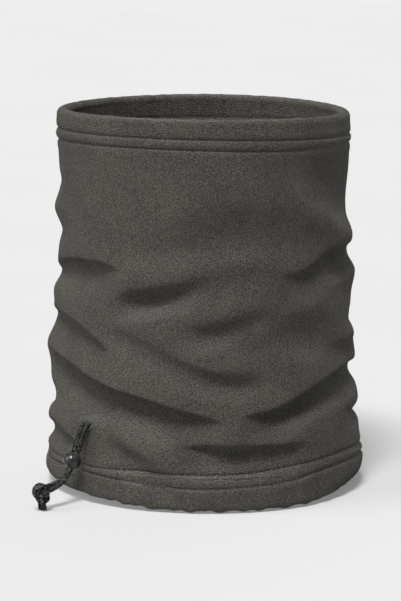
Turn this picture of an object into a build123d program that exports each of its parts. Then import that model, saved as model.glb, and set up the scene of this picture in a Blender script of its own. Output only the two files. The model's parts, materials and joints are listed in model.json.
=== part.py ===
from build123d import *

import os
from math import cos, degrees, pi, radians, sin, tan

# A fleece neck gaiter that stands on its drawcord hem: a soft tube with a
# rolled collar hem, a drawcord in the bottom hem, and a ball cord lock on the
# cord's knotted end. Millimetres, +Z up, origin at the centre of the base.
# Azimuths are in degrees from the front (-Y), positive towards +X.

# The fleece tube
fleece = 2.4
height = 198.0
casing_top = 20.0
collar_bottom = 180.0
collar_gap = 0.3
panel_outline = [(82.5, casing_top), (80.5, 50), (78.5, 80), (76, 110), (75, 140), (75, collar_bottom)]
collar_outer = 75.6
collar_inner = 69.4

# The bottom hem and the channel that the drawcord runs in
casing_outer = 82.5
casing_inner = 74.2
casing_edge = 2.5
stitched_inner = 77.4
stitched_from = 13.5
inner_layer_top = 17.5
channel_radii = (76.4, 79.8)
channel_heights = (3.0, 10.0)

# Stitching
thread_r = 0.3
thread_gap = 0.02
looper_thickness = 0.4
looper_gap = 0.05
collar_stitches = {"lower": 181.5, "upper": 187.0}
casing_stitches = {"lower": 13.0, "upper": 19.0}
allowance_thickness = 2.4
allowance_width = 6.5
seam_thread_width = 2.5

# The drawcord inside the gaiter
cord_r = 1.1
strand_offset = 1.15
loop_r = 77.6
loop_height = 6.5
loop_bend = 4.0
outlet_bend = 2.5
riser_slot = (5.4, 2.8)

# The outlet, and the free cord as (distance from the axis, height) in its plane
exit_azimuth = -47.0
exit_height = 39.4
exit_hole = (5.8, 4.0)
hole_stitching = (8.6, 6.4, 0.5)
hinge_r = 82.8
ball_at = (91.6, 22.7)
straight_run = 27.8
bend_at = (102.6, 11.8)
strand_end = (110.2, 10.2)
knot_at = (113.0, 8.7)
knot_half_size = (4.1, 5.0)
tail_top = (112.3, 5.0)
tail_bottom = (111.5, 0.3)
tail_spread = (1.15, 1.3)

# The ball cord lock, along its button's axis from the ball's centre
ball_r = 4.4
bore_r = 3.18
bore_floor = -2.45
spring_well_r = 1.9
spring_floor = -3.65
lock_slot = (5.0, 2.8)
plunger_r = 3.1
plunger_proud = 0.7
plunger_slot_bottom = -1.25
plunger_web = 0.45
plunger_slot = (5.0, 3.2)
spring_r = 1.55
spring_wire_r = 0.15
spring_pitch = 0.6

# Directions at the outlet, the plane that the free cord hangs in, and its hinge
azimuth = radians(exit_azimuth)
up = Vector(0, 0, 1)
outward = Vector(sin(azimuth), -cos(azimuth), 0)
sideways = Vector(cos(azimuth), sin(azimuth), 0)
cord_plane = Plane(origin=(0, 0, 0), x_dir=outward, z_dir=-sideways)
hinge = (hinge_r, exit_height)
fall = Vector(ball_at[0] - hinge[0], ball_at[1] - hinge[1]).normalized()
cord_direction = outward * fall.X + up * fall.Y
button_direction = outward * -fall.Y + up * fall.X
ball_centre = outward * ball_at[0] + up * ball_at[1]
lock_plane = Plane(origin=ball_centre, x_dir=sideways, z_dir=button_direction)
through_lock = Plane(origin=ball_centre, x_dir=sideways, z_dir=cord_direction)
riser_plane = Plane(origin=outward * loop_r + up * loop_height, x_dir=sideways, z_dir=up)


def save(piece, name):
    """Label a finished piece and write its STEP file."""
    piece.part.label = name
    export_step(piece.part, f"parts/{name}.step")


def thread_ring(surface_r, level):
    """One row of needle thread, lying round the outside of a hem."""
    with BuildPart() as piece:
        with Locations((0, 0, level)):
            Torus(surface_r + thread_r + thread_gap, thread_r)
    return piece


def looper_band(surface_r, bottom, top):
    """The looper thread's flat band, lying round the inside of a hem."""
    outer = surface_r - looper_gap
    inner = outer - looper_thickness
    with BuildPart() as piece:
        with BuildSketch(Plane.XZ):
            with BuildLine():
                Polyline((inner, bottom), (outer, bottom), (outer, top), (inner, top), close=True)
            make_face()
        revolve(axis=Axis.Z)
    return piece


def panel_profile(inset, thickness):
    """The outline of the panel's wall, or of a layer inside it."""
    with BuildLine() as outline:
        outside = Spline(*[(r - inset, z) for r, z in panel_outline])
        inside = Spline(*[(r - inset - thickness, z) for r, z in panel_outline])
        Line(outside @ 0, inside @ 0)
        Line(outside @ 1, inside @ 1)
    return outline.edges()


def back_strip(inset, thickness, width_degrees):
    """A strip along the inside of the panel at the back, centred on +Y."""
    start = Plane.XZ.rotated((0, 0, 90 - width_degrees / 2))
    with BuildPart() as piece:
        with BuildSketch(start):
            make_face(panel_profile(inset, thickness))
        revolve(axis=Axis.Z, revolution_arc=width_degrees)
    return piece


def check_tube(piece, path, name):
    """Print a tube's volume beside its section times its length."""
    expected = pi * cord_r**2 * path.length
    print(f"{name}: length {path.length:.1f}, volume {piece.part.volume:.1f}, section x length {expected:.1f}")


os.makedirs("parts", exist_ok=True)

# Body panel: one tube of fleece, wider at the hem, with the cord's buttonhole
with BuildPart() as body_panel:
    with BuildSketch(Plane.XZ):
        make_face(panel_profile(0, fleece))
    revolve(axis=Axis.Z)
    hole_start = outward * loop_r + up * exit_height
    with BuildSketch(Plane(origin=hole_start, x_dir=sideways, z_dir=outward)):
        SlotOverall(*exit_hole)
    extrude(amount=10, mode=Mode.SUBTRACT)
save(body_panel, "body_panel")

# Collar hem: the doubled, rolled top edge, with a shallow seat for its looper thread
roll = (collar_outer - collar_inner) / 2
collar_foot = collar_bottom + collar_gap
seat_r = collar_inner + looper_thickness + 2 * looper_gap
seat_bottom, seat_top = collar_stitches.values()
with BuildPart() as collar_hem:
    with BuildSketch(Plane.XZ):
        with BuildLine():
            Polyline((collar_inner, height - roll), (collar_inner, seat_top), (seat_r, seat_top),
                     (seat_r, seat_bottom), (collar_inner, seat_bottom), (collar_inner, collar_foot),
                     (collar_outer, collar_foot), (collar_outer, height - roll))
            ThreePointArc((collar_outer, height - roll), (collar_inner + roll, height),
                          (collar_inner, height - roll))
        make_face()
    revolve(axis=Axis.Z)
save(collar_hem, "collar_hem")

# Drawcord casing: the bottom hem, folded round the channel and stitched shut
# above it, with a slot where the two ends of the cord rise to the buttonhole
with BuildPart() as drawcord_casing:
    with BuildSketch(Plane.XZ):
        with BuildLine():
            Polyline((casing_outer, casing_edge), (casing_outer, casing_top),
                     (casing_outer - fleece, casing_top), (casing_outer - fleece, inner_layer_top),
                     (stitched_inner, inner_layer_top), (stitched_inner, stitched_from),
                     (casing_inner, channel_heights[1] - 0.5), (casing_inner, casing_edge))
            CenterArc((casing_inner + casing_edge, casing_edge), casing_edge, 180, 90)
            Line((casing_inner + casing_edge, 0), (casing_outer - casing_edge, 0))
            CenterArc((casing_outer - casing_edge, casing_edge), casing_edge, 270, 90)
        make_face()
        channel_width = channel_radii[1] - channel_radii[0]
        channel_depth = channel_heights[1] - channel_heights[0]
        with Locations((sum(channel_radii) / 2, sum(channel_heights) / 2)):
            RectangleRounded(channel_width, channel_depth, 1.2, mode=Mode.SUBTRACT)
    revolve(axis=Axis.Z)
    with BuildSketch(riser_plane):
        Rectangle(*riser_slot)
    extrude(amount=casing_top, mode=Mode.SUBTRACT)
save(drawcord_casing, "drawcord_casing")

# Stitching: two rows of needle thread outside each hem, looper thread inside
for row, level in collar_stitches.items():
    save(thread_ring(collar_outer, level), f"collar_needle_thread_{row}")
for row, level in casing_stitches.items():
    save(thread_ring(casing_outer, level), f"casing_needle_thread_{row}")
save(looper_band(seat_r, seat_bottom + looper_gap, seat_top - looper_gap), "collar_looper_thread")
whole_band = looper_band(stitched_inner, stitched_from + looper_gap, inner_layer_top - looper_gap)
with BuildPart() as casing_looper_thread:
    add(whole_band.part)
    with BuildSketch(riser_plane):
        Rectangle(*riser_slot)
    extrude(amount=casing_top, mode=Mode.SUBTRACT)
save(casing_looper_thread, "casing_looper_thread")

# Back seam: the panel's two edges turned in, and the overlock thread along them
save(back_strip(fleece + looper_gap, allowance_thickness, allowance_width), "back_seam_allowance")
save(back_strip(fleece + allowance_thickness + 2 * looper_gap, looper_thickness, seam_thread_width),
     "back_seam_thread")

# Buttonhole stitching: a flat oval of thread round the cord's outlet
ring_length, ring_width, ring_thickness = hole_stitching
with BuildPart() as buttonhole_stitching:
    ring_seat = outward * (hinge_r - cord_r - 0.1) + up * exit_height
    with BuildSketch(Plane(origin=ring_seat, x_dir=sideways, z_dir=outward)):
        SlotOverall(ring_length, ring_width)
        SlotOverall(*exit_hole, mode=Mode.SUBTRACT)
    extrude(amount=ring_thickness)
save(buttonhole_stitching, "buttonhole_stitching")


# Drawcord: once round the channel, with both ends up and out to the buttonhole
cord_end_r = hinge_r - cord_r - 0.3
foot_angle = degrees((strand_offset + loop_bend) / loop_r)
slant = sin(radians(45))
with BuildPart() as drawcord_loop:
    with BuildLine() as loop_path:
        for side in (-1, 1):
            foot_azimuth = radians(exit_azimuth + side * foot_angle)
            foot = Vector(sin(foot_azimuth), -cos(foot_azimuth)) * loop_r + up * loop_height
            turn_in = Vector(cos(foot_azimuth), sin(foot_azimuth)) * -side
            riser_foot = foot + (turn_in + up) * loop_bend
            riser_top = Vector(riser_foot.X, riser_foot.Y, exit_height - outlet_bend)
            outlet = riser_top + (outward + up) * outlet_bend
            ThreePointArc(foot, foot + (turn_in * slant + up * (1 - slant)) * loop_bend, riser_foot)
            Line(riser_foot, riser_top)
            ThreePointArc(riser_top, riser_top + (outward * (1 - slant) + up * slant) * outlet_bend, outlet)
            Line(outlet, outlet + outward * (cord_end_r - outlet.dot(outward)))
        CenterArc((0, 0, loop_height), loop_r, exit_azimuth - 90 + foot_angle, 360 - 2 * foot_angle)
    loop_wire = loop_path.wires()[0]
    with BuildSketch(Plane(origin=loop_wire @ 0, z_dir=loop_wire % 0)):
        Circle(cord_r)
    sweep(path=loop_wire)
check_tube(drawcord_loop, loop_wire, "drawcord_loop")
save(drawcord_loop, "drawcord_loop")

# Free cord: two strands side by side, straight through the lock, then to the knot
straight_end = (hinge[0] + fall.X * straight_run, hinge[1] + fall.Y * straight_run)
route = [Vector(*point) for point in (hinge, straight_end, bend_at, strand_end)]
runs = [after - before for before, after in zip(route, route[1:])]
bends = []
for before, after in zip(runs, runs[1:]):
    half_turn = radians(before.get_angle(after)) / 2
    bends.append(0.45 * min(before.length, after.length) / tan(half_turn))
print("free cord runs", [round(run.length, 1) for run in runs], "radii", [round(bend, 1) for bend in bends])

for name, offset in (("left", strand_offset), ("right", -strand_offset)):
    with BuildPart() as cord_strand:
        with BuildLine(cord_plane.offset(offset)) as strand_path:
            FilletPolyline(*[(point.X, point.Y) for point in route], radius=bends)
        strand_wire = strand_path.wires()[0]
        with BuildSketch(Plane(origin=strand_wire @ 0, z_dir=strand_wire % 0)):
            Circle(cord_r)
        sweep(path=strand_wire)
        check_tube(cord_strand, strand_wire, f"cord_strand_{name}")
        with Locations(strand_wire @ 0):
            Sphere(cord_r)
    save(cord_strand, f"cord_strand_{name}")

# Knot, and the two cut ends below it that stand on the surface
with BuildPart() as cord_knot:
    with BuildSketch(cord_plane):
        with Locations(knot_at):
            Ellipse(*knot_half_size)
        with Locations((knot_at[0] - ball_r, knot_at[1])):
            Rectangle(2 * ball_r, 3 * ball_r, mode=Mode.SUBTRACT)
    revolve(axis=Axis(outward * knot_at[0], up))
save(cord_knot, "cord_knot")

for name, side in (("left", 1), ("right", -1)):
    top = cord_plane.from_local_coords((*tail_top, side * tail_spread[0]))
    bottom = cord_plane.from_local_coords((*tail_bottom, side * tail_spread[1]))
    with BuildPart() as cord_tail:
        with BuildSketch(Plane(origin=bottom, z_dir=top - bottom)):
            Circle(cord_r)
        extrude(amount=(top - bottom).length)
    save(cord_tail, f"cord_tail_{name}")

# Cord lock: a ball with a blind bore for its button and a slot for the two strands
with BuildPart() as lock_shell:
    with Locations(lock_plane):
        Sphere(ball_r)
    with BuildSketch(lock_plane.offset(bore_floor)):
        Circle(bore_r)
    extrude(amount=3 * ball_r, mode=Mode.SUBTRACT)
    with BuildSketch(lock_plane.offset(spring_floor)):
        Circle(spring_well_r)
    extrude(amount=ball_r, mode=Mode.SUBTRACT)
    with BuildSketch(through_lock):
        SlotOverall(*lock_slot)
    extrude(amount=2 * ball_r, both=True, mode=Mode.SUBTRACT)
save(lock_shell, "lock_shell")

# Button: a plunger with a domed end and a taller slot that traps the strands
plunger_foot = plunger_slot_bottom - plunger_web
with BuildPart() as lock_plunger:
    with Locations(lock_plane.offset(plunger_proud)):
        Sphere(ball_r)
    with BuildSketch(lock_plane.offset(plunger_foot)):
        Circle(plunger_r)
    extrude(amount=3 * ball_r, mode=Mode.INTERSECT)
    slot_middle = ball_centre + button_direction * (plunger_slot_bottom + plunger_slot[1] / 2)
    with BuildSketch(Plane(origin=slot_middle, x_dir=sideways, z_dir=cord_direction)):
        RectangleRounded(*plunger_slot, 1.0)
    extrude(amount=2 * ball_r, both=True, mode=Mode.SUBTRACT)
save(lock_plunger, "lock_plunger")

# Spring: a small coil between its well's floor and the plunger's foot
spring_start = spring_floor + spring_wire_r + 0.05
spring_height = plunger_foot - spring_floor - 2 * spring_wire_r - 0.1
with BuildPart() as lock_spring:
    with BuildLine() as coil:
        Helix(spring_pitch, spring_height, spring_r, center=ball_centre + button_direction * spring_start,
              direction=button_direction)
    coil_wire = coil.wires()[0]
    with BuildSketch(Plane(origin=coil_wire @ 0, z_dir=coil_wire % 0)):
        Circle(spring_wire_r)
    sweep(path=coil_wire, is_frenet=True)
save(lock_spring, "lock_spring")
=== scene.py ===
import json
import math
import bpy
import numpy as np
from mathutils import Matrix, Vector


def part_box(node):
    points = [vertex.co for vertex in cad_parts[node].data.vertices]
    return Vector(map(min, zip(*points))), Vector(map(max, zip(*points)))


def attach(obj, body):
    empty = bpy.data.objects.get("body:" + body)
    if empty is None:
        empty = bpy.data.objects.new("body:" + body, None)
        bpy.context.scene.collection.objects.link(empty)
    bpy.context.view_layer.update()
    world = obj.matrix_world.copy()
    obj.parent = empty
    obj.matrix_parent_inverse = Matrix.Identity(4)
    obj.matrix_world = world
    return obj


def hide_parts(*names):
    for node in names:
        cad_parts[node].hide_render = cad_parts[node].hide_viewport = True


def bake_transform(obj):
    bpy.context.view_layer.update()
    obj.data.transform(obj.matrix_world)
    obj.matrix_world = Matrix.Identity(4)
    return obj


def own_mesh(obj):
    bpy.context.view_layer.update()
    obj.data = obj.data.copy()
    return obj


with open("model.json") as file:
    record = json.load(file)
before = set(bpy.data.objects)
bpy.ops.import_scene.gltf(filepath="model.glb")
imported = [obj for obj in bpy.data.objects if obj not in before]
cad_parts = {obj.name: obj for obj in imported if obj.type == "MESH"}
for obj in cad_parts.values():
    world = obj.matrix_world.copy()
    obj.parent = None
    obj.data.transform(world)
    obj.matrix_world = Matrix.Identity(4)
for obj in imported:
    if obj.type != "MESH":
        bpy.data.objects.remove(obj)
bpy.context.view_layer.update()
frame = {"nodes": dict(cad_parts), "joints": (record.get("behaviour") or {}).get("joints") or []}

# A fleece neck gaiter that stands on its drawcord hem. Lengths in this file are millimetres
# until they become mesh points. Azimuths are degrees from the front (-Y), positive towards +X.
# The cloth is one field of folds over a tube, and the body panel, the collar hem and the
# drawcord casing are three stretches of it that meet at the stitching. In the cloth's code a
# level is a nominal height up the tube, before the folds move it.
MM = 0.001
nodes = frame["nodes"]
joint_of = {joint["name"]: joint for joint in frame["joints"]}


# ---------------------------------------------------------------- camera
def make_camera():
    """The camera stands 1.36 m in front and 0.3 m up, looking 8.4 degrees down."""
    data = bpy.data.cameras.new("camera")
    data.sensor_width = 36
    data.lens = 156
    camera = bpy.data.objects.new("camera", data)
    looks_down = math.radians(8.43)
    camera.location = (-0.0021, -1.359, 0.2972)
    camera.rotation_euler = (math.pi / 2 - looks_down, 0, 0)
    bpy.context.collection.objects.link(camera)
    bpy.context.scene.camera = camera
    bpy.context.scene.view_settings.view_transform = "Standard"


make_camera()


# ---------------------------------------------------------------- materials
def ramp(made, links, value, stops):
    """A colour ramp on a value, with (position, colour) stops."""
    node = made.new("ShaderNodeValToRGB")
    while len(node.color_ramp.elements) < len(stops):
        node.color_ramp.elements.new(0.5)
    for element, (position, colour) in zip(node.color_ramp.elements, stops):
        element.position = position
        element.color = (*colour, 1)
    links.new(value, node.inputs["Fac"])
    return node.outputs["Color"]


def noise(made, links, where, scale, detail, roughness):
    """A noise texture's value, in object space."""
    node = made.new("ShaderNodeTexNoise")
    node.inputs["Scale"].default_value = scale
    node.inputs["Detail"].default_value = detail
    node.inputs["Roughness"].default_value = roughness
    links.new(where, node.inputs["Vector"])
    return node.outputs["Fac"]


def mix(made, links, a, b, share):
    """a and b mixed, with this share of b."""
    node = made.new("ShaderNodeMix")
    node.inputs["Factor"].default_value = share
    links.new(a, node.inputs["A"])
    links.new(b, node.inputs["B"])
    return node.outputs["Result"]


def bump(made, links, relief, distance, strength):
    """A bump from a relief value, its distance in millimetres."""
    node = made.new("ShaderNodeBump")
    node.inputs["Strength"].default_value = strength
    node.inputs["Distance"].default_value = distance * MM
    links.new(relief, node.inputs["Height"])
    return node.outputs["Normal"]


def new_material(name):
    """A new node material: itself, its nodes and links, its shader, and its textures' coordinates."""
    material = bpy.data.materials.new(name)
    material.use_nodes = True
    tree = material.node_tree
    shader = tree.nodes["Principled BSDF"]
    where = tree.nodes.new("ShaderNodeTexCoord").outputs["Object"]
    return material, tree.nodes, tree.links, shader, where


def fleece_material():
    """Brushed fleece: a short matted pile with small pills, mottled, pale where light grazes it."""
    material, made, links, shader, where = new_material("fleece")
    pills = noise(made, links, where, 1850, 1, 0.45)
    fibres = noise(made, links, where, 3100, 2, 0.6)
    cloudy = noise(made, links, where, 60, 3, 0.5)
    grain = mix(made, links, pills, fibres, 0.2)
    mottle = mix(made, links, grain, cloudy, 0.13)
    colour = ramp(made, links, mottle, [(0.43, (0.0084, 0.0075, 0.0057)),
                                        (0.5, (0.0427, 0.0383, 0.0295)),
                                        (0.57, (0.117, 0.105, 0.0818))])
    links.new(colour, shader.inputs["Base Color"])
    rough = ramp(made, links, pills, [(0.3, (0.9, 0.9, 0.9)), (0.7, (1, 1, 1))])
    links.new(rough, shader.inputs["Roughness"])
    shader.inputs["Specular IOR Level"].default_value = 0.2
    shader.inputs["Sheen Weight"].default_value = 0.18
    shader.inputs["Sheen Roughness"].default_value = 0.55
    shader.inputs["Sheen Tint"].default_value = (0.85, 0.83, 0.78, 1)
    links.new(bump(made, links, grain, 7.0, 1.0), shader.inputs["Normal"])
    return material


def thread_material():
    """Spun polyester thread: darker than the fleece, with a fine twist and a little shine."""
    material, made, links, shader, where = new_material("thread")
    twist = noise(made, links, where, 3000, 2, 0.5)
    colour = ramp(made, links, twist, [(0.3, (0.022, 0.021, 0.019)), (0.7, (0.052, 0.050, 0.045))])
    links.new(colour, shader.inputs["Base Color"])
    shader.inputs["Roughness"].default_value = 0.55
    shader.inputs["Sheen Weight"].default_value = 0.1
    links.new(bump(made, links, twist, 0.1, 0.8), shader.inputs["Normal"])
    return material


def cord_material():
    """Braided cord: near black, with pale flecks where a lighter yarn crosses over, and painted shade that
    darkens the flecks towards the grooves between the yarns.
    """
    material, made, links, shader, where = new_material("braided_cord")
    yarn = made.new("ShaderNodeAttribute")
    yarn.attribute_name = "fleck_and_groove_shade"
    fibres = noise(made, links, where, 4200, 2, 0.6)
    both = mix(made, links, yarn.outputs["Fac"], fibres, 0.25)
    # the attribute holds the pale yarn flecks together with painted shade towards the grooves between the
    # yarns
    colour = ramp(made, links, both, [(0.15, (0.003, 0.003, 0.003)),
                                      (0.5, (0.009, 0.009, 0.0088)),
                                      (0.85, (0.15, 0.15, 0.145))])
    links.new(colour, shader.inputs["Base Color"])
    shader.inputs["Roughness"].default_value = 0.8
    shader.inputs["Specular IOR Level"].default_value = 0.15
    links.new(bump(made, links, fibres, 0.08, 0.8), shader.inputs["Normal"])
    return material


def plastic_material():
    """Moulded acetal: dark grey, satin, with a faint grain and lighter scuffs."""
    material, made, links, shader, where = new_material("moulded_plastic")
    grain = noise(made, links, where, 2600, 2, 0.5)
    scuffs = noise(made, links, where, 380, 4, 0.7)
    colour = ramp(made, links, scuffs, [(0.35, (0.010, 0.0096, 0.0086)),
                                        (0.7, (0.019, 0.0184, 0.0168))])
    links.new(colour, shader.inputs["Base Color"])
    rough = ramp(made, links, scuffs, [(0.3, (0.24, 0.24, 0.24)), (0.7, (0.38, 0.38, 0.38))])
    links.new(rough, shader.inputs["Roughness"])
    links.new(bump(made, links, grain, 0.05, 0.4), shader.inputs["Normal"])
    return material


def spring_material():
    """Drawn spring wire: bright, with fine drawing marks."""
    material, made, links, shader, where = new_material("spring_wire")
    marks = noise(made, links, where, 5200, 2, 0.5)
    colour = ramp(made, links, marks, [(0.3, (0.46, 0.46, 0.45)), (0.7, (0.64, 0.64, 0.63))])
    links.new(colour, shader.inputs["Base Color"])
    shader.inputs["Metallic"].default_value = 1
    shader.inputs["Roughness"].default_value = 0.34
    links.new(bump(made, links, marks, 0.02, 0.5), shader.inputs["Normal"])
    return material


def floor_material():
    """Plain pale paper."""
    material, made, links, shader, where = new_material("pale_floor")
    tone = noise(made, links, where, 3, 2, 0.5)
    colour = ramp(made, links, tone, [(0.3, (0.406, 0.4045, 0.4055)),
                                      (0.7, (0.414, 0.4125, 0.4135))])
    links.new(colour, shader.inputs["Base Color"])
    shader.inputs["Roughness"].default_value = 1
    shader.inputs["Specular IOR Level"].default_value = 0
    return material


fleece_finish = fleece_material()
thread_finish = thread_material()
cord_finish = cord_material()
plastic_finish = plastic_material()
spring_finish = spring_material()


# ---------------------------------------------------------------- meshes
def make_mesh(name, points, faces, finish):
    """A smooth shaded object from rows of points in millimetres and a list of faces."""
    mesh = bpy.data.meshes.new(name)
    mesh.from_pydata((points.reshape(-1, 3) * MM).tolist(), [], faces)
    mesh.shade_smooth()
    mesh.materials.append(finish)
    made = bpy.data.objects.new(name, mesh)
    bpy.context.collection.objects.link(made)
    return made


def grid_faces(rings, around, ends_meet=False):
    """Quads of a tube of rings of points, as an array; of a torus if its ends meet."""
    i = np.arange(rings if ends_meet else rings - 1)[:, None]
    j = np.arange(around)[None, :]
    after_i = (i + 1) % rings
    after_j = (j + 1) % around
    this_ring, next_ring = i * around, after_i * around
    quads = np.stack([this_ring + j, this_ring + after_j, next_ring + after_j, next_ring + j], -1)
    return quads.reshape(-1, 4)


# ---------------------------------------------------------------- free cord
# The cord's plane stands on the line from the tube's axis to the cord's outlet: outward and up
# lie in it, and sideways is square to it. fall is how the cord hangs from its outlet to the lock,
# and across is square to both fall and sideways.
hinge = Vector(joint_of["cord_swing"]["pos_m"]) / MM
up = Vector((0, 0, 1))
outward = Vector((hinge.x, hinge.y, 0)).normalized()
sideways = up.cross(outward) * -1
fall = outward * 8.8 - up * 16.7
across = sideways.cross(fall).normalized()
exit_azimuth = -47.0
cord_r = 1.25

# The free cord's control points from its buttonhole to its knot: distance from the axis,
# height, and half the way from one strand to the other, along sideways and across the cord.
# The two strands turn about each other: side by side at the outlet and in the lock, and one
# in front of the other below it.
route = [
    (80.6, 40.6, 1.05, 0.2),
    (83.9, 40.8, 1.05, 0.3),
    (87.0, 32.2, 1.05, 0.7),
    (92.26, 21.44, 1.2, 0.0),
    (95.8, 14.8, 0.9, -0.6),
    (102.6, 11.8, 1.0, 0.9),
    (109.6, 10.6, 1.2, 1.6),
]


def spline_points(control):
    """Points along a smooth spline with these control points, in millimetres."""
    data = bpy.data.curves.new("line", "CURVE")
    data.dimensions = "3D"
    spline = data.splines.new("NURBS")
    spline.points.add(len(control) - 1)
    for point, place in zip(spline.points, control):
        point.co = (*(Vector(place) * MM), 1)
    spline.order_u = 3
    spline.use_endpoint_u = True
    spline.resolution_u = 24
    line = bpy.data.objects.new("line", data)
    read = bpy.data.meshes.new_from_object(line)
    points = np.array([vertex.co for vertex in read.vertices]) / MM
    bpy.data.meshes.remove(read)
    bpy.data.objects.remove(line)
    bpy.data.curves.remove(data)
    return points


def evenly(points, step):
    """The same line with points at even steps."""
    gaps = np.linalg.norm(np.diff(points, axis=0), axis=1)
    along = np.concatenate([[0], np.cumsum(gaps)])
    wanted = np.linspace(0, along[-1], max(int(along[-1] / step), 4))
    return np.stack([np.interp(wanted, along, points[:, k]) for k in range(3)], -1), wanted


def square_to(points):
    """Two directions square to a line at each of its points, with no twist along it."""
    tangents = np.gradient(points, axis=0)
    tangents /= np.linalg.norm(tangents, axis=1)[:, None]
    side = np.cross(tangents[0], (0.3, 0.2, 0.93))
    sides = []
    for tangent in tangents:
        side = side - tangent * side.dot(tangent)
        side = side / np.linalg.norm(side)
        sides.append(side)
    sides = np.array(sides)
    return sides, np.cross(tangents, sides)


def braided_tube(points, radius, seed, ends=(0.0, 0.0), step=0.16, around=48, yarns=13):
    """A braided cord along a line: yarns that cross over and under, with random pale flecks.
    Its fleck values are also painted shade: darker towards the grooves between the yarns and paler
    on their crests. ends rounds off each end over that length. Gives points, faces, the flecks with
    their painted groove shade, and the line."""
    line, along = evenly(points, step)
    sides, tops = square_to(line)
    angle = np.linspace(0, 2 * math.pi, around, endpoint=False)[None, :]
    steepness = 0.8
    run = along[:, None] / (2 * math.pi * radius) * yarns * steepness
    one = angle / (2 * math.pi) * yarns + run
    other = angle / (2 * math.pi) * yarns - run
    over = np.sin(math.pi * one) * np.sin(math.pi * other)
    relief = np.abs(over) ** 0.5
    r = radius * (0.84 + 0.2 * relief)
    for end, distance in ((ends[0], along), (ends[1], along[-1] - along)):
        if end:
            share = np.clip(distance / end, 0.02, 1)
            r = r * np.sqrt(1 - (1 - share) ** 2)[:, None]
    ring = line[:, None, :] + r[..., None] * (np.cos(angle)[..., None] * sides[:, None, :]
                                             + np.sin(angle)[..., None] * tops[:, None, :])
    with_caps = np.concatenate([ring.reshape(-1, 3), line[:1], line[-1:]])
    faces = grid_faces(len(line), around).tolist()
    j = np.arange(around)
    after = (j + 1) % around
    last_ring = (len(line) - 1) * around
    first_cap, last_cap = len(line) * around, len(line) * around + 1
    faces += np.stack([np.full(around, first_cap), after, j], -1).tolist()
    faces += np.stack([np.full(around, last_cap), last_ring + j, last_ring + after], -1).tolist()
    draw = np.random.default_rng(seed)
    cells = 64
    chance = draw.random((cells, cells))
    chosen = chance[np.floor(one).astype(int) % cells, np.floor(other).astype(int) % cells]
    # the pale flecks are the lighter yarn's own colour; scaling them by relief is painted shade, darker
    # towards the grooves between the yarns and paler on their crests
    fleck_and_groove_shade = np.where(chosen > 0.6, 0.45 + 0.5 * relief * chosen, 0.25 * relief * chosen)
    fleck_and_groove_shade = np.concatenate([fleck_and_groove_shade.ravel(), [0.1, 0.1]])
    return with_caps, faces, fleck_and_groove_shade, line


def cord_piece(name, tubes, body, replaced):
    """One object from one or more braided tubes."""
    points, faces, flecks_and_groove_shade, count = [], [], [], 0
    for tube_points, tube_faces, tube_flecks_and_groove_shade, _ in tubes:
        points.append(tube_points)
        faces += [[k + count for k in face] for face in tube_faces]
        flecks_and_groove_shade.append(tube_flecks_and_groove_shade)
        count += len(tube_points)
    made = make_mesh(name, np.concatenate(points), faces, cord_finish)
    # store the pale yarn flecks with their painted shade towards the grooves between the yarns
    values = made.data.attributes.new("fleck_and_groove_shade", "FLOAT", "POINT").data
    values.foreach_set("value", np.concatenate(flecks_and_groove_shade))
    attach(made, body)
    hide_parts(*replaced)
    return made


def in_cord_plane(r, z, aside=0.0, beside=0.0):
    """A point at r from the axis and height z in the cord's plane, moved sideways and across."""
    return outward * r + up * z + sideways * aside + across * beside


for side, sign in (("left", -1), ("right", 1)):
    control = [in_cord_plane(r, z, sign * aside, sign * beside) for r, z, aside, beside in route]
    strand = braided_tube(spline_points(control), cord_r, 11 + sign, ends=(0.8, 0.8))
    piece = cord_piece("braided_strand_" + side, [strand], "free_cord", ["cord_strand_" + side])

# The overhand knot, tied in both strands at once: over the top, down the outside, once round
# behind, and back down through the middle. Each row is sideways, outward and up from the knot's
# middle, then the half way from one strand to the other along the same three directions. A
# thicker core fills the middle, where the pulled turns leave no gap.
knot_cord_r = 1.5
knot_core_r = 2.0
knot_low, knot_high = (np.array(corner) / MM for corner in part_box("cord_knot"))
knot_middle = Vector((knot_low + knot_high) / 2)
knot_route = [
    (0.0, -3.2, 1.5, 1.1, 0, 0),
    (0.2, -1.9, 3.0, 1.1, 0, 0.1),
    (0.5, 0.6, 3.7, 1.1, 0, 0),
    (0.6, 2.8, 2.0, 1.1, 0, 0),
    (0.2, 3.0, -0.6, 1.0, 0, 0.4),
    (-1.2, 2.3, -2.4, 0.7, 0, 0.9),
    (-3.0, 0.6, -2.4, 0, 0.3, 1.1),
    (-2.8, -2.0, -1.4, 0, 0, 1.1),
    (-0.2, -3.1, -0.6, 0, 0, 1.1),
    (2.6, -2.0, 0.0, 0, 0, 1.1),
    (3.1, 0.6, 0.4, 0, 0.2, 1.1),
    (1.6, 1.8, 0.6, 0.5, 0, 1.0),
    (0.4, 1.0, -0.4, 1.0, 0, 0.4),
    (0.0, 0.2, -2.0, 1.1, 0, 0),
    (0.0, -0.6, -3.9, 1.15, 0, 0),
]
knot_core = [(0.2, -4.4, 1.9), (0.2, -2.0, 1.8), (0.3, 0.4, 1.2), (0.2, 0.8, -1.0), (0.0, 0.0, -3.0)]


def from_knot(place):
    """A point given sideways, outward and up from the knot's middle, pulled to the knot's size."""
    aside, out, rise = place
    return knot_middle + sideways * aside * 0.95 + outward * (out - 0.5) + up * (rise * 1.05 + 0.4)


knot_tubes = []
for sign in (-1, 1):
    control = [from_knot(np.array(row[:3]) + sign * np.array(row[3:])) for row in knot_route]
    knot_tubes.append(braided_tube(spline_points(control), knot_cord_r, 21 + sign, ends=(0.6, 0.6)))
core = [from_knot(place) for place in knot_core]
knot_tubes.append(braided_tube(spline_points(core), knot_core_r, 25, ends=(1.5, 1.5)))
knot = cord_piece("overhand_knot", knot_tubes, "free_cord", ["cord_knot"])

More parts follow.
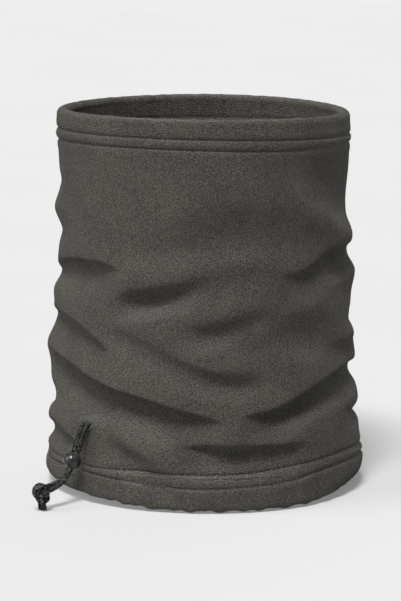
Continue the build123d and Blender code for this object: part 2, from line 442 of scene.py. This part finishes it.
# The cut tails below the knot: distance from the axis, height, and half the way between them
tail_route = [(112.4, 5.4, 1.15), (112.0, 3.0, 1.3), (111.5, 0.35, 1.35)]
for side, sign in (("left", -1), ("right", 1)):
    control = [in_cord_plane(r, z, sign * aside) for r, z, aside in tail_route]
    tail = braided_tube(spline_points(control), cord_r * 1.02, 31 + sign, ends=(0.5, 0.35))
    cord_piece("cut_tail_" + side, [tail], "free_cord", ["cord_tail_" + side])

# The drawcord inside the hem: once round its channel by azimuth, and at both ends up behind the
# cloth and out, by distance from the axis, height, and half the way from one end to the other
channel_z = 6.5
leaving = (-50.4, -52.5, -56, -62, -78)
round_back = range(-96, -385, -18)
returning = (-392, -398, -401.5, -403.6)
riser = [(77.6, 6.9, 1.15), (77.6, 12, 1.15), (77.6, 36, 1.15), (77.6, 38.6, 1.15), (78.6, 39.7, 1.1),
         (80.8, 39.9, 1.0)]
loop_route = []
for azimuth in (*leaving, *round_back, *returning):
    reach = 79.07 if -392 < azimuth < -62 else 78.2
    turn = math.radians(azimuth)
    loop_route.append(Vector((math.sin(turn) * reach, -math.cos(turn) * reach, channel_z)))
for r, z, aside in riser:
    loop_route.insert(0, in_cord_plane(r, z, -aside))
    loop_route.append(in_cord_plane(r, z, aside))
loop_tube = braided_tube(spline_points(loop_route), cord_r, 41, step=0.5, around=20, yarns=8)
cord_piece("hem_drawcord", [loop_tube], "gaiter", ["drawcord_loop"])


# ---------------------------------------------------------------- the cloth's field of folds
def curve(points, x):
    """A smooth curve through given (x, y) points, flat beyond its ends."""
    px = np.array([p[0] for p in points], float)
    py = np.array([p[1] for p in points], float)
    slope = np.gradient(py, px)
    x = np.clip(x, px[0], px[-1])
    i = np.clip(np.searchsorted(px, x, side="right") - 1, 0, len(px) - 2)
    span = px[i + 1] - px[i]
    t = (x - px[i]) / span
    start = (1 + 2 * t) * (1 - t) ** 2 * py[i] + t * (1 - t) ** 2 * span * slope[i]
    return start + t * t * (3 - 2 * t) * py[i + 1] + t * t * (t - 1) * span * slope[i + 1]


def turn_near(azimuth, middle):
    """The azimuth, in whole turns nearest to the middle."""
    return middle + (azimuth - middle + 180) % 360 - 180


def ring_curve(points, azimuth):
    """A curve that runs once round the tube and meets itself."""
    closed = [(a - 360, y) for a, y in points[-2:]] + list(points) + [(a + 360, y) for a, y in points[:2]]
    return curve(closed, turn_near(azimuth, 0))


# The tube without its folds: (level, distance of the outer face from the axis)
height = float(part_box("collar_hem")[1].z / MM)
cloth_thickness = 2.4
rim_r = 3.15
collar_r = 76.5
profile = [(0, 85.0), (5, 84.9), (20, 83.3), (35, 82.0), (50, 80.4), (80, 78.2), (110, 76.2),
           (140, 75.4), (165, 75.8), (182, 76.2), (height, collar_r)]

# Creases: (azimuth, height, depth) along the line where one roll of cloth hangs over the next.
# The cloth below the line is drawn in by the depth, and the roll above swells by bulge x depth.
# above and below are the reach of the swell and of the drawn-in cloth, edge is the step's half
# height, and lip is how far the roll hangs over the line.
creases = [
    # left of the front
    dict(line=[(-128, 112, 0), (-110, 112, 2.0), (-98, 113, 2.8), (-90, 114.5, 2.8), (-80, 118, 3.0),
               (-70, 121.5, 3.0), (-55, 123.5, 2.7), (-45, 123.5, 2.3), (-31, 119.5, 0)],
         bulge=0.5, above=11, below=9, edge=1.0, lip=1.4),
    dict(line=[(-43, 104, 0), (-30, 109, 3.2), (-20, 111.5, 3.9), (-8, 115, 2.8), (4, 118, 0)],
         bulge=0.5, above=8, below=6.5, edge=2.0, lip=0.6),
    dict(line=[(-128, 92, 0), (-108, 91, 2.2), (-96, 91, 3.0), (-88, 92, 3.6), (-80, 93.5, 4.2),
               (-70, 93.5, 4.8), (-60, 92, 4.2), (-50, 88, 3.2), (-42, 82, 1.8), (-36, 76.5, 0)],
         bulge=0.4, above=8, below=12, edge=0.9, lip=1.6),
    dict(line=[(-92, 74, 0), (-84, 73, 1.0), (-77, 71.5, 3.2), (-70, 70.5, 5), (-60, 68.5, 5.4),
               (-50, 65, 5.2), (-40, 62, 5.2), (-30, 60, 5.0), (-20, 57, 4.6), (-10, 53, 3.8),
               (0, 49.5, 2.4), (8, 44.5, 0)],
         bulge=0.45, above=11, below=11, edge=0.9, lip=2.2),
    dict(line=[(-145, 54, 0), (-120, 51, 2.6), (-102, 49, 3.6), (-92, 48.5, 3.4), (-84, 47, 2.0),
               (-75, 43, 0)],
         bulge=0.45, above=11, below=6, edge=1.2, lip=0.8),
    dict(line=[(-126, 31, 0), (-106, 31, 2.6), (-92, 32, 3.4), (-84, 34, 3.0), (-77, 35.5, 2.6),
               (-65, 34, 2.4), (-57, 31, 1.8), (-49, 27, 0)],
         bulge=0.25, above=7, below=6.5, edge=1.0, lip=1.2),
    dict(line=[(-46, 42, 0), (-40, 39, 1.6), (-35, 37, 2.4), (-28, 32, 2.8), (-18, 25, 2.0), (-9, 20, 0)],
         bulge=0.5, above=9, below=8, edge=1.8, lip=0.4),
    # front
    dict(line=[(-44, 93, 0), (-35, 91.5, 1.3), (-20, 84, 1.6), (-10, 77.5, 1.8), (0, 72, 2.2),
               (10, 69.5, 2.6), (18, 68.5, 1.6), (26, 68, 0)],
         bulge=0.6, above=8, below=6, edge=1.7, lip=0.6),
    dict(line=[(-14, 94, 0), (-6, 93.5, 1.6), (0, 94, 2.2), (10, 97.5, 1.8), (20, 102, 1.2), (33, 106, 0)],
         bulge=0.5, above=8, below=6, edge=2.0, lip=0.5),
    dict(line=[(-30, 130, 0), (-15, 138, 1.3), (0, 143, 2.0), (15, 146, 2.2), (30, 145, 2.0), (45, 141, 1.4),
               (62, 136, 0)], bulge=0.6, above=14, below=9, edge=8.0, lip=0),
    dict(line=[(-2, 91, 0), (15, 92, 1.6), (30, 93, 2.2), (45, 92, 2.2), (60, 90, 1.6), (76, 88, 0)],
         bulge=0.6, above=10, below=8, edge=7.0, lip=0),
    dict(line=[(-12, 32.5, 0), (-3, 33.5, 2.8), (10, 33.5, 3.8), (25, 33, 3.4), (42, 32, 0)],
         bulge=0.3, above=8, below=8, edge=1.4, lip=0.8),
    # right of the front
    dict(line=[(29, 117.5, 0), (38, 119, 1.6), (45, 121.5, 2.4), (52, 125.5, 2.8), (58, 128.5, 3.6),
               (62, 129.5, 6.0), (70, 130, 6.2), (77, 128.5, 4.4), (86, 126.5, 2.4), (98, 125, 2.0),
               (115, 121, 2), (132, 118, 0)],
         bulge=0.35, above=9, below=8, edge=0.9, lip=1.6),
    dict(line=[(31, 164, 0), (38, 159, -0.8), (45, 153.5, -1.3), (58, 147, -1.8), (75, 140.5, -1.8),
               (90, 138, -1.6), (108, 136, 0)], bulge=1.0, above=14, below=7, edge=3.2, lip=0),
    dict(line=[(48, 80.5, 0), (58, 80, 1.8), (70, 79.5, 3.0), (80, 79, 2.2), (92, 79, 0)],
         bulge=0.6, above=8, below=7, edge=1.6, lip=1.0),
    dict(line=[(12, 48, 0), (20, 50.5, 2.2), (25, 52, 3.2), (35, 57, 4.2), (45, 62, 4.6), (55, 65, 5.2),
               (62, 66.5, 6.0), (70, 67, 6.0), (80, 66.5, 4.4), (92, 65, 3), (115, 64, 2.6), (136, 66, 0)],
         bulge=0.4, above=10, below=8, edge=0.9, lip=2.0),
    dict(line=[(64, 44, 0), (74, 43, 2.0), (90, 43, 3.0), (105, 42, 2.0), (120, 40, 0)],
         bulge=0.4, above=7, below=6, edge=1.4, lip=0.8),
    # back
    dict(line=[(118, 148, 0), (138, 151, 2.2), (162, 148, 3.4), (186, 141, 3.2), (212, 135, 0)],
         bulge=0.5, above=11, below=9, edge=1.3, lip=1.2),
    dict(line=[(148, 116, 0), (168, 120, 3.0), (190, 122, 4.2), (214, 118, 4.0), (236, 112, 0)],
         bulge=0.45, above=10, below=10, edge=1.0, lip=1.8),
    dict(line=[(104, 104, 0), (124, 101, 2.8), (144, 96, 4.0), (164, 92, 2.6), (182, 90, 0)],
         bulge=0.5, above=9, below=9, edge=1.0, lip=1.6),
    dict(line=[(162, 80, 0), (182, 82, 3.2), (204, 79, 4.6), (224, 75, 3.8), (244, 72, 0)],
         bulge=0.45, above=10, below=9, edge=1.0, lip=1.8),
    dict(line=[(128, 48, 0), (150, 53, 3.6), (174, 56, 4.6), (198, 53, 4.0), (222, 47, 0)],
         bulge=0.45, above=10, below=9, edge=1.0, lip=1.8),
    dict(line=[(186, 30, 0), (204, 34, 2.0), (226, 34, 2.4), (246, 31, 0)],
         bulge=0.4, above=8, below=6, edge=1.3, lip=0.8),
    dict(line=[(112, 37, 0), (128, 36, 2.0), (146, 33, 2.2), (162, 29, 0)],
         bulge=0.4, above=8, below=6, edge=1.3, lip=0.8),
    dict(line=[(200, 160, 0), (216, 156, 1.6), (236, 150, 2.2), (256, 147, 0)],
         bulge=0.6, above=11, below=9, edge=4.0, lip=0),
]

# Soft swells and hollows: azimuth, height, half width in degrees, half height, tilt, amount
swells = [
    (-92, 78, 20, 13, 0, 5.4), (-88, 106, 18, 6, 0, 3.8), (-90, 49, 18, 5, 0, -2.6),
    (-90, 16, 18, 6, 0, -1.6), (-88, -1, 26, 6, 0, -3.4), (74, -1, 22, 7, 0, -4.0),
    (-88, 136, 16, 4, 0, -0.3), (-90, 146, 18, 7, 0, 3.2), (-90, 161, 18, 4, 0, -0.9),
    (-90, 133.5, 18, 4, 0, -1.0), (5, 124, 26, 6, 0.05, 1.0), (88, 150, 22, 10, 0, 0.2),
    (92, 113, 15, 10, 0, 3.6), (88, 88.5, 18, 4.5, 0, -2.6),
    (56, 166, 16, 13, -0.4, -1.4), (-30, 160, 30, 16, 0, 0.7), (10, 168, 24, 8, 0, 0.6),
    (160, 166, 30, 10, 0, -1.6), (205, 104, 22, 7, 0, 1.2), (150, 70, 22, 7, 0, 1.4),
    (232, 92, 20, 7, 0, -1.6), (235, 132, 20, 7, 0, -1.4), (120, 125, 18, 7, 0, 1.2),
]

# Heights by azimuth, once round: the four rows of stitches, the rim's crest and the lowest edge
collar_upper = [(-150, 187.5), (-90, 188), (-47, 188), (0, 187.3), (45, 186.2), (90, 185.5),
                (150, 186.5)]
collar_lower = [(-150, 182), (-90, 182), (-47, 182.6), (0, 181.8), (25, 180.8), (60, 181.2),
                (90, 180.5), (150, 181.2)]
hem_upper = [(-170, 19.5), (-120, 20), (-80, 19), (-47, 18.5), (-20, 19.4), (0, 18.8), (15, 19), (30, 20.6),
             (45, 22.6), (60, 23.4), (75, 22.5), (100, 19.5), (140, 19)]
hem_lower = [(-170, 14), (-120, 14.5), (-80, 14.5), (-47, 15.3), (-25, 13.6), (-8, 12.4), (15, 13), (30, 14),
             (45, 17), (60, 18), (75, 17), (100, 14), (140, 13.5)]
rim_crest = [(-180, 200.2), (-150, 199.8), (-90, 198.2), (-47, 197.6), (0, 196.8), (30, 196.2), (60, 195.6),
             (110, 197.2), (150, 199.4)]
lowest_edge = [(-150, 0.6), (-90, 4.2), (-70, 5.4), (-55, 4.7), (-45, 3.4), (-30, 2.2), (-20, 1.0), (0, 0.4),
               (20, 0.4), (40, 0.9), (52, 2.6), (65, 4.6), (80, 4.6), (112, 1.0), (150, 0.3)]


def near(value, middle, reach):
    """1 at the middle, falling smoothly to 0 beyond the reach."""
    return np.exp(-((value - middle) / reach) ** 2)


def waves(azimuth, counts, seed, level=0.0):
    """Uneven ripples round the tube: whole waves with fixed random phases that drift with height."""
    draw = np.random.default_rng(seed)
    total = 0
    for count in counts:
        phase, size, drift = draw.uniform(0, 2 * math.pi), draw.uniform(0.5, 1), draw.uniform(-0.09, 0.09)
        total = total + size * np.sin(np.radians(azimuth) * count + phase + level * drift)
    return total / math.sqrt(len(counts))


def folds(azimuth, level):
    """Radius and height of the fleece's outer face at an azimuth and a level."""
    r = curve(profile, level) + 0.5 * np.sin(np.radians(2 * azimuth + 40))
    r = r + 0.35 * np.sin(np.radians(3 * azimuth) + level / 45)
    r = r + 0.22 * waves(azimuth, (7, 11, 16), 5, level) + 0.12 * waves(azimuth, (19, 27, 34), 6, level * 3)
    lift = np.zeros_like(r)
    # the creases are deeper in front, and softer at the two sides, where they make the outline
    from_front = turn_near(azimuth, 0)
    deeper = 1 + 0.5 * near(from_front ** 2, 0, 3900)
    beside = near(np.abs(from_front), 92, 17)
    for crease in creases:
        line = crease["line"]
        along = turn_near(azimuth, (line[0][0] + line[-1][0]) / 2)
        depth = curve([(p[0], p[2]) for p in line], along) * deeper
        s = level - curve([(p[0], p[1]) for p in line], along)
        over = 0.5 * (1 + np.tanh(s / (crease["edge"] + beside)))
        valley = crease["below"] * (1 - 0.35 * beside)
        lip = crease["lip"] * (1 - 0.8 * beside)
        past = np.clip((-s - valley) / (1.7 * valley), 0, 1)
        sharp = crease["edge"] < 1.5
        if sharp:
            turned_under = 0.7 * (1 - over) + 0.3 * np.sin(math.pi / 2 * np.clip(-s / valley, 0, 1))
            swollen = near(np.maximum(s - 1.5, 0), 0, 1.35 * crease["above"]) * over
        else:
            swollen = near(s, 0.8 * crease["above"], crease["above"])
            t = np.clip((crease["edge"] * 1.6 - s) / (crease["edge"] * 1.6 + valley), 0, 1)
            turned_under = t * t * (3 - 2 * t)
        drawn_in = turned_under * np.cos(math.pi / 2 * past) ** 2
        r = r + depth * (swollen * crease["bulge"] - drawn_in)
        share = np.clip(np.abs(depth) / 3, 0, 1)
        lift = lift - lip * share * over * np.exp(-np.abs(s) / 4)
        lift = lift + 0.4 * lip * share * (1 - over) * np.exp(-np.abs(s) / 3)
    for middle, z, wide, tall, tilt, amount in swells:
        along = turn_near(azimuth, middle) - middle
        r = r + amount * near(along, 0, wide) * near(level - z - tilt * along, 0, tall)
    return r, level + lift


def skin(azimuth, level):
    """The outer face with its stitched grooves, its gathered hem, and its rim and base heights."""
    fade = 1 - near(level, height, 14)
    r, z = folds(azimuth, level)
    r = collar_r + (r - collar_r) * fade
    for row, depth in ((collar_upper, 0.8), (collar_lower, 0.8), (hem_upper, 0.7), (hem_lower, 0.9)):
        s = level - ring_curve(row, azimuth)
        r = r - depth * near(s, 0, 0.6) + 0.35 * near(np.abs(s), 2.9, 2.0)
    strength = 0.65 + 0.4 * near(turn_near(azimuth, 52), 52, 25)
    pleats = waves(azimuth, (31, 43, 58, 71), 3, level * 3) * 0.5
    puckers = waves(azimuth, (96, 117, 139), 4, level * 4) * 0.16
    r = r + (pleats + puckers) * near(level, 7, 8) * strength
    r = r + 0.1 * waves(azimuth, (64, 77, 90), 8, level) * near(level, 185, 4)
    # the rim's and the hem's heights round the tube
    stretch = np.clip((level - 170) / (height - 170), 0, 1)
    z = z + (ring_curve(rim_crest, azimuth) - height) * stretch ** 2
    z = z + ring_curve(lowest_edge, azimuth) * np.clip(1 - level / 22, 0, 1) ** 1.5
    # room for the drawcord where it rises behind the cloth
    behind = near(turn_near(azimuth, exit_azimuth), exit_azimuth, 7) * np.clip((44 - level) / 4, 0, 1)
    r = r + behind * np.maximum(81.7 - r, 0)
    # the groove of the back seam
    seam = near(turn_near(azimuth, 180), 180, 0.9) * np.clip((186 - level) / 5, 0, 1)
    return r - 0.7 * seam, z


def places(azimuth, r, z):
    """Points from azimuths, distances from the axis and heights. The tube leans a little left."""
    turn = np.radians(azimuth)
    lean = 0.6 * (z / height) ** 2
    return np.stack([np.sin(turn) * r - lean, -np.cos(turn) * r, z + np.zeros_like(r)], -1)


def respaced(path, count):
    """Each column's (r, z) path with this many points at even distances along it."""
    gaps = np.hypot(*np.moveaxis(np.diff(path, axis=1), -1, 0))
    along = np.concatenate([np.zeros((len(path), 1)), np.cumsum(gaps, 1)], 1)
    made = np.empty((len(path), count, 2))
    for i, (distance, column) in enumerate(zip(along, path)):
        wanted = np.linspace(0, distance[-1], count)
        made[i, :, 0] = np.interp(wanted, distance, column[:, 0])
        made[i, :, 1] = np.interp(wanted, distance, column[:, 1])
    return made


def stretch_of(azimuths, low, high, samples=520):
    """Each column's outer (r, z) path between two levels by azimuth."""
    share = np.linspace(0, 1, samples)[None, :]
    levels = low[:, None] * (1 - share) + high[:, None] * share
    around = azimuths[:, None] + np.zeros_like(levels)
    return np.stack(skin(around, levels), -1)


def lining(azimuths, levels):
    """The inner face's distance from the axis: behind the deepest cloth nearby, and smooth."""
    around = azimuths[:, None] + np.zeros((1, len(levels)))
    nearby = [skin(around, levels[None, :] + shift)[0] for shift in (-4.5, -3, -1.5, 0, 1.5, 3, 4.5)]
    r = np.min(nearby, 0) - cloth_thickness
    for _ in range(3):
        r[:, 1:-1] = (r[:, :-2] + 2 * r[:, 1:-1] + r[:, 2:]) / 4
        r = (np.roll(r, 1, 0) + 2 * r + np.roll(r, -1, 0)) / 4
    return r


def columns(count):
    """This many azimuths at even steps round the tube."""
    return np.linspace(-180, 180, count, endpoint=False)


def cloth_piece(name, azimuths, loop, node):
    """A closed sheet of fleece from each column's closed loop of (r, z) points."""
    around = azimuths[:, None] + np.zeros(loop.shape[:2])
    points = places(around, loop[..., 0], loop[..., 1])
    faces = grid_faces(*loop.shape[:2], ends_meet=True).tolist()
    piece = make_mesh(name, points, faces, fleece_finish)
    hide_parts(node)
    return piece


def body_loop(azimuths):
    """The panel: up its outside, from hem to collar stitching, and down its inside."""
    low, high = ring_curve(hem_upper, azimuths), ring_curve(collar_lower, azimuths)
    outer = respaced(stretch_of(azimuths, low + 0.1, high - 0.1), count=146)
    levels = np.linspace(19.5, 179.5, 40)
    inner = lining(azimuths, levels)
    inside = np.stack([inner, levels[None, :] + np.zeros_like(inner)], -1)[:, ::-1]
    bottom = outer[:, :1] + (-1.3, 0.1)
    top = outer[:, -1:] + (-1.3, -0.1)
    return np.concatenate([outer, top, inside, bottom], 1)


def collar_loop(azimuths):
    """The collar: up its outside, over the rim, down the inside, and back up between the layers."""
    crest_gap = 0.9
    low = ring_curve(collar_lower, azimuths)
    outer = stretch_of(azimuths, low, np.full_like(low, height - rim_r), samples=200)
    rim = outer[:, -1]
    wobble = 0.12 * waves(azimuths, (23, 41, 57), 9)
    arc = np.radians(np.linspace(6, 180, 24))[None, :]
    size = (rim_r + wobble)[:, None]
    over = np.stack([rim[:, :1] - size + size * np.cos(arc), rim[:, 1:] + size * np.sin(arc)], -1)
    inside_r = over[:, -1, 0]
    drop = np.linspace(rim[:, 1] - 1, 178.2 + 0.5 * waves(azimuths, (5, 8, 13), 10), 40).T
    hollow = 0.35 * near(drop, 184.3, 4.0) - 0.5 * near(drop, 181.4, 0.8) - 0.5 * near(drop, 187.2, 0.8)
    inside = np.stack([inside_r[:, None] + 0.15 - hollow, drop], -1)
    edge = inside[:, -1:] + np.array([[0.5, -0.7], [1.6, -0.6], [2.1, 0.4]])[None, :, :]
    face = respaced(np.concatenate([outer, over, inside, edge], 1), count=92)
    # between the layers: up behind the inside, round under the rim, and down behind the outside
    middle_r = rim[:, 0] - rim_r
    hidden = [(inside_r + 2.3, np.full(len(rim), z)) for z in (180.5, 184, 188, 191.5)]
    hidden += [(middle_r + crest_gap * math.cos(a), rim[:, 1] + crest_gap * math.sin(a))
               for a in (3.1, 1.57, 0.1)]
    hidden += [(rim[:, 0] - 2.3, np.full(len(rim), z)) for z in (191.5, 188, 184.5)]
    hidden.append((face[:, 0, 0] - 1.4, face[:, 0, 1] + 0.4))
    return np.concatenate([face] + [np.stack(pair, -1)[:, None] for pair in hidden], 1)


def casing_loop(azimuths):
    """The drawcord hem: down its outside, round the bottom, up inside, and round its channel."""
    hem_width, foot_level = 7.2, 3.4
    high = ring_curve(hem_upper, azimuths)
    outer = stretch_of(azimuths, high, np.full_like(high, foot_level), samples=160)
    foot = outer[:, -1]
    puckers = waves(azimuths, (31, 44, 58, 73), 12)
    lumps = 0.25 + 0.45 * near(np.abs(azimuths) ** 2, 0, 4900)
    base = np.maximum(ring_curve(lowest_edge, azimuths) + lumps * (0.7 + puckers), 0.05)
    share = np.linspace(0, 1, 22)[None, :]
    bowl = np.sqrt(np.clip(1 - (2 * share - 1) ** 2, 0, 1)) ** 0.8
    lowered = foot[:, 1:] + (base[:, None] - foot[:, 1:]) * bowl
    under = np.stack([foot[:, :1] - share * hem_width, lowered], -1)
    rise = np.linspace(3.6, 17.6, 40)[None, :] + np.zeros_like(foot[:, :1])
    inner_r = foot[:, :1] - hem_width + 3.1 * np.clip((rise - 8) / 5.5, 0, 1) ** 1.5
    inner_r = inner_r - 0.4 * near(rise, 15.8, 1.6) + 0.25 * puckers[:, None]
    inside = np.stack([inner_r, rise], -1)
    edge = inside[:, -1:] + np.array([[0.4, 0.6], [1.4, 0.6], [1.9, 0.0]])[None, :, :]
    face = respaced(np.concatenate([outer, under, inside, edge], 1), count=66)
    # the channel: (from the foot, height) down its inner wall and up its outer one
    walls = [(-3.2, 12.6), (-4.9, 9.2), (-5.1, 6.0), (-5.0, 3.6), (-3.2, 4.0), (-2.5, 6.0),
             (-2.4, 9.0), (-2.2, 12.5)]
    channel = [np.stack([foot[:, 0] + dr, np.full(len(foot), z)], -1)[:, None] for dr, z in walls]
    top = (outer[:, 0] + (-1.8, -0.2))[:, None]
    return np.concatenate([face] + channel + [top], 1)


body = cloth_piece("fleece_body", columns(520), body_loop(columns(520)), "body_panel")
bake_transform(body)
collar = cloth_piece("rolled_collar", columns(720), collar_loop(columns(720)), "collar_hem")
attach(collar, "collar")
casing = cloth_piece("gathered_casing", columns(1200), casing_loop(columns(1200)), "drawcord_casing")
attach(casing, "gaiter")


# ---------------------------------------------------------------- stitching
def stitches(name, replaced, ends, radius, swell, sides=6, rings=6):
    """One mesh of thread stitches, each from its start to its end, arched outwards by swell.
    ends holds the starts, the ends and the outward directions."""
    sunk = 0.12
    start, end, out = ends
    way = end - start
    long = np.linalg.norm(way, axis=1)[:, None]
    way = way / long
    out = out - way * (out * way).sum(1)[:, None]
    out = out / np.linalg.norm(out, axis=1)[:, None]
    aside = np.cross(way, out)
    points, faces = [], []
    share = np.linspace(0, 1, rings)
    around = np.linspace(0, 2 * math.pi, sides, endpoint=False)
    for t in share:
        thick = radius * max(1 - abs(2 * t - 1) ** 4, 0.08)
        middle = start + way * long * t + out * (swell * (1 - (2 * t - 1) ** 2) - sunk)
        for turn in around:
            points.append(middle + out * thick * math.cos(turn) + aside * thick * math.sin(turn))
    quads = grid_faces(rings, sides)
    for i in range(len(start)):
        faces += (quads + i * rings * sides).tolist()
    piece = make_mesh(name, np.stack(points, 1), faces, thread_finish)
    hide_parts(replaced)
    return piece


def outer_point(azimuth, level):
    """A point on the cloth's outer face."""
    r, z = skin(azimuth, level)
    return places(azimuth, r, z)


def needle_row(name, row, body, replaced, seed):
    """A row of straight stitches along a groove."""
    count = 160
    draw = np.random.default_rng(seed)
    middle = columns(count) + draw.uniform(-0.12, 0.12, count)
    half = 180 / count * 0.8
    level = ring_curve(row, middle) + draw.uniform(-0.12, 0.12, count)
    start = outer_point(middle - half, level)
    end = outer_point(middle + half, level)
    out = places(middle, np.ones(count), np.zeros(count))
    ends = (start, end, out)
    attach(stitches(name, replaced, ends, radius=0.3, swell=0.22, sides=8, rings=7), body)


needle_row("collar_stitches_upper", collar_upper, "collar", "collar_needle_thread_upper", 51)
needle_row("collar_stitches_lower", collar_lower, "collar", "collar_needle_thread_lower", 52)
needle_row("casing_stitches_upper", hem_upper, "gaiter", "casing_needle_thread_upper", 53)
needle_row("casing_stitches_lower", hem_lower, "gaiter", "casing_needle_thread_lower", 54)


def looper_row(name, loop_of, low, high, body, replaced):
    """The looper thread inside a hem: a zigzag between two heights on the innermost face. Each
    corner is the face's point that is nearest to its height and to the axis."""
    azimuth = columns(300)
    corners = []
    for i, points in enumerate(loop_of(azimuth)):
        inner = points[len(points) // 3:]
        inwards = inner[:, 0] - inner[:, 0].min()
        level, weight = (low, 2) if i % 2 == 0 else (high, 0.7)
        corners.append(inner[np.argmin(np.abs(inner[:, 1] - level) + inwards * weight)])
    corners = np.array(corners)
    corner = places(azimuth, corners[:, 0] - 0.2, corners[:, 1])
    out = -places(azimuth, np.ones(len(azimuth)), np.zeros(len(azimuth)))
    ends = (corner, np.roll(corner, -1, 0), out)
    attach(stitches(name, replaced, ends, radius=0.26, swell=0.3), body)


looper_row("collar_looper_zigzag", collar_loop, 181.6, 187.0, "collar", "collar_looper_thread")
looper_row("casing_looper_zigzag", casing_loop, 13.8, 17.2, "gaiter", "casing_looper_thread")


def buttonhole():
    """Close overcast stitches round the cord's outlet."""
    count = 34
    turn = np.linspace(0, 2 * math.pi, count, endpoint=False)
    exit_level, exit_r = 39.9, 81

    def ring(wide, tall, proud):
        aside, rise = wide * np.cos(turn), tall * np.sin(turn)
        azimuth = exit_azimuth + np.degrees(aside / exit_r)
        r, z = skin(azimuth, exit_level + rise)
        return places(azimuth, r + proud, z)

    out = places(np.full(count, exit_azimuth), np.ones(count), np.zeros(count))
    ends = (ring(2.6, 1.9, 0.1), ring(4.2, 3.2, 0.0), out)
    piece = stitches("buttonhole_overcast", "buttonhole_stitching", ends, radius=0.34, swell=0.35)
    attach(piece, "gaiter")


buttonhole()


def back_seam():
    """The turned-in edges of the back seam, and the overlock thread along them."""
    half_width, seam_r, gap = 4.6, 76, 0.05
    levels = np.linspace(21, 178, 150)
    offsets = np.linspace(-half_width, half_width, 25)
    face = lining(np.linspace(170, 190, 9), levels)[4]
    ruffle = 0.25 * np.sin(levels / 2.1) + 0.2 * np.sin(levels / 5.3 + 1)
    crown = 1.9 * (1 - np.abs(offsets / half_width) ** 6) - 0.5 * near(offsets, 0, 0.7)
    turn = 180 + np.degrees(offsets / seam_r)[None, :] + np.degrees(0.3 * ruffle / seam_r)[:, None]
    rise = levels[:, None] + np.zeros_like(turn)
    inner = places(turn, face[:, None] - gap - crown[None, :] - 0.15 * ruffle[:, None], rise)
    outer = places(turn[:, ::-1], face[:, None] - gap + np.zeros_like(turn), rise)
    ring = np.concatenate([inner, outer], 1)
    count = ring.shape[1]
    last_ring = (len(levels) - 1) * count
    faces = grid_faces(len(levels), count).tolist()
    faces += [list(range(count)), list(range(last_ring, last_ring + count))[::-1]]
    piece = make_mesh("back_seam_fold", ring, faces, fleece_finish)
    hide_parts("back_seam_allowance")
    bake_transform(piece)
    steps = np.arange(22, 176, 1.1)
    zigzag = np.where(np.arange(len(steps)) % 2 == 0, -3.9, 3.9)
    corner = places(180 + np.degrees(zigzag / seam_r), np.interp(steps, levels, face) - 2.0, steps)
    inward = np.array([0, -1, 0.0]) + np.zeros_like(corner[:-1])
    ends = (corner[:-1], corner[1:], inward)
    thread = stitches("overlock_thread", "back_seam_thread", ends, radius=0.24, swell=0.25)
    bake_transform(thread)


back_seam()


# ---------------------------------------------------------------- cord lock
for name in ("lock_shell", "lock_plunger"):
    nodes[name].data.materials.clear()
    nodes[name].data.materials.append(plastic_finish)


def spring():
    """The lock's coil spring, between the bottom of its well and the button."""
    turns, coil_r, wire_r, low, high = 3.0, 1.5, 0.14, -3.4, -1.95
    points, around = 150, 10
    lock_low, lock_high = (np.array(corner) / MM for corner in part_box("lock_shell"))
    middle = Vector((lock_low + lock_high) / 2)
    down_cord = fall.normalized()
    button = sideways.cross(down_cord)
    line = []
    for a, h in zip(np.linspace(0, turns * 2 * math.pi, points), np.linspace(low, high, points)):
        coil = sideways * coil_r * math.cos(a) + down_cord * coil_r * math.sin(a)
        line.append(middle + coil + button * h)
    line = np.array(line)
    sides, tops = square_to(line)
    angle = np.linspace(0, 2 * math.pi, around, endpoint=False)[None, :, None]
    ring = line[:, None, :] + wire_r * (np.cos(angle) * sides[:, None, :] + np.sin(angle) * tops[:, None, :])
    faces = grid_faces(points, around).tolist()
    piece = make_mesh("lock_coil", ring, faces, spring_finish)
    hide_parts("lock_spring")
    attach(piece, "cord_lock")
    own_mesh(piece)


spring()


# ---------------------------------------------------------------- stage and light
def make_stage():
    """A pale floor that fills the view, a pale sky, and suns from the upper front, the left and
    behind. The one from behind casts no shadow, so that it leaves the floor in front alone."""
    count = 96
    radii = (300, 900, 3000, 9000, 24000)
    turn = np.linspace(0, 2 * math.pi, count, endpoint=False)
    points = [(0, 0, 0)]
    for radius in radii:
        points += [(radius * math.cos(a), radius * math.sin(a), 0) for a in turn]
    faces = [(0, 1 + i, 1 + (i + 1) % count) for i in range(count)]
    for k in range(len(radii) - 1):
        near_ring, far_ring = 1 + k * count, 1 + (k + 1) * count
        faces += [(near_ring + i, far_ring + i, far_ring + (i + 1) % count, near_ring + (i + 1) % count)
                  for i in range(count)]
    mesh = bpy.data.meshes.new("floor")
    mesh.from_pydata([tuple(np.array(point) * MM) for point in points], [], faces)
    mesh.materials.append(floor_material())
    floor = bpy.data.objects.new("floor", mesh)
    bpy.context.collection.objects.link(floor)
    world = bpy.data.worlds.new("sky")
    world.use_nodes = True
    bpy.context.scene.world = world
    world.node_tree.nodes["Background"].inputs["Color"].default_value = (1, 1, 1, 1)
    world.node_tree.nodes["Background"].inputs["Strength"].default_value = 0.17
    # name, strength, spread in degrees, and the direction in which the light travels
    suns = (("key", 4.15, 18, (0.14, 0.64, -1.0)), ("side", 1.6, 50, (1.0, 0.3, -0.6)),
            ("back", 2.2, 40, (-0.35, -0.8, -1.1)))
    for name, strength, spread, travel in suns:
        data = bpy.data.lights.new(name, "SUN")
        data.energy = strength
        data.angle = math.radians(spread)
        data.use_shadow = name != "back"
        light = bpy.data.objects.new(name, data)
        light.rotation_euler = Vector(travel).to_track_quat("-Z", "Y").to_euler()
        bpy.context.collection.objects.link(light)


make_stage()
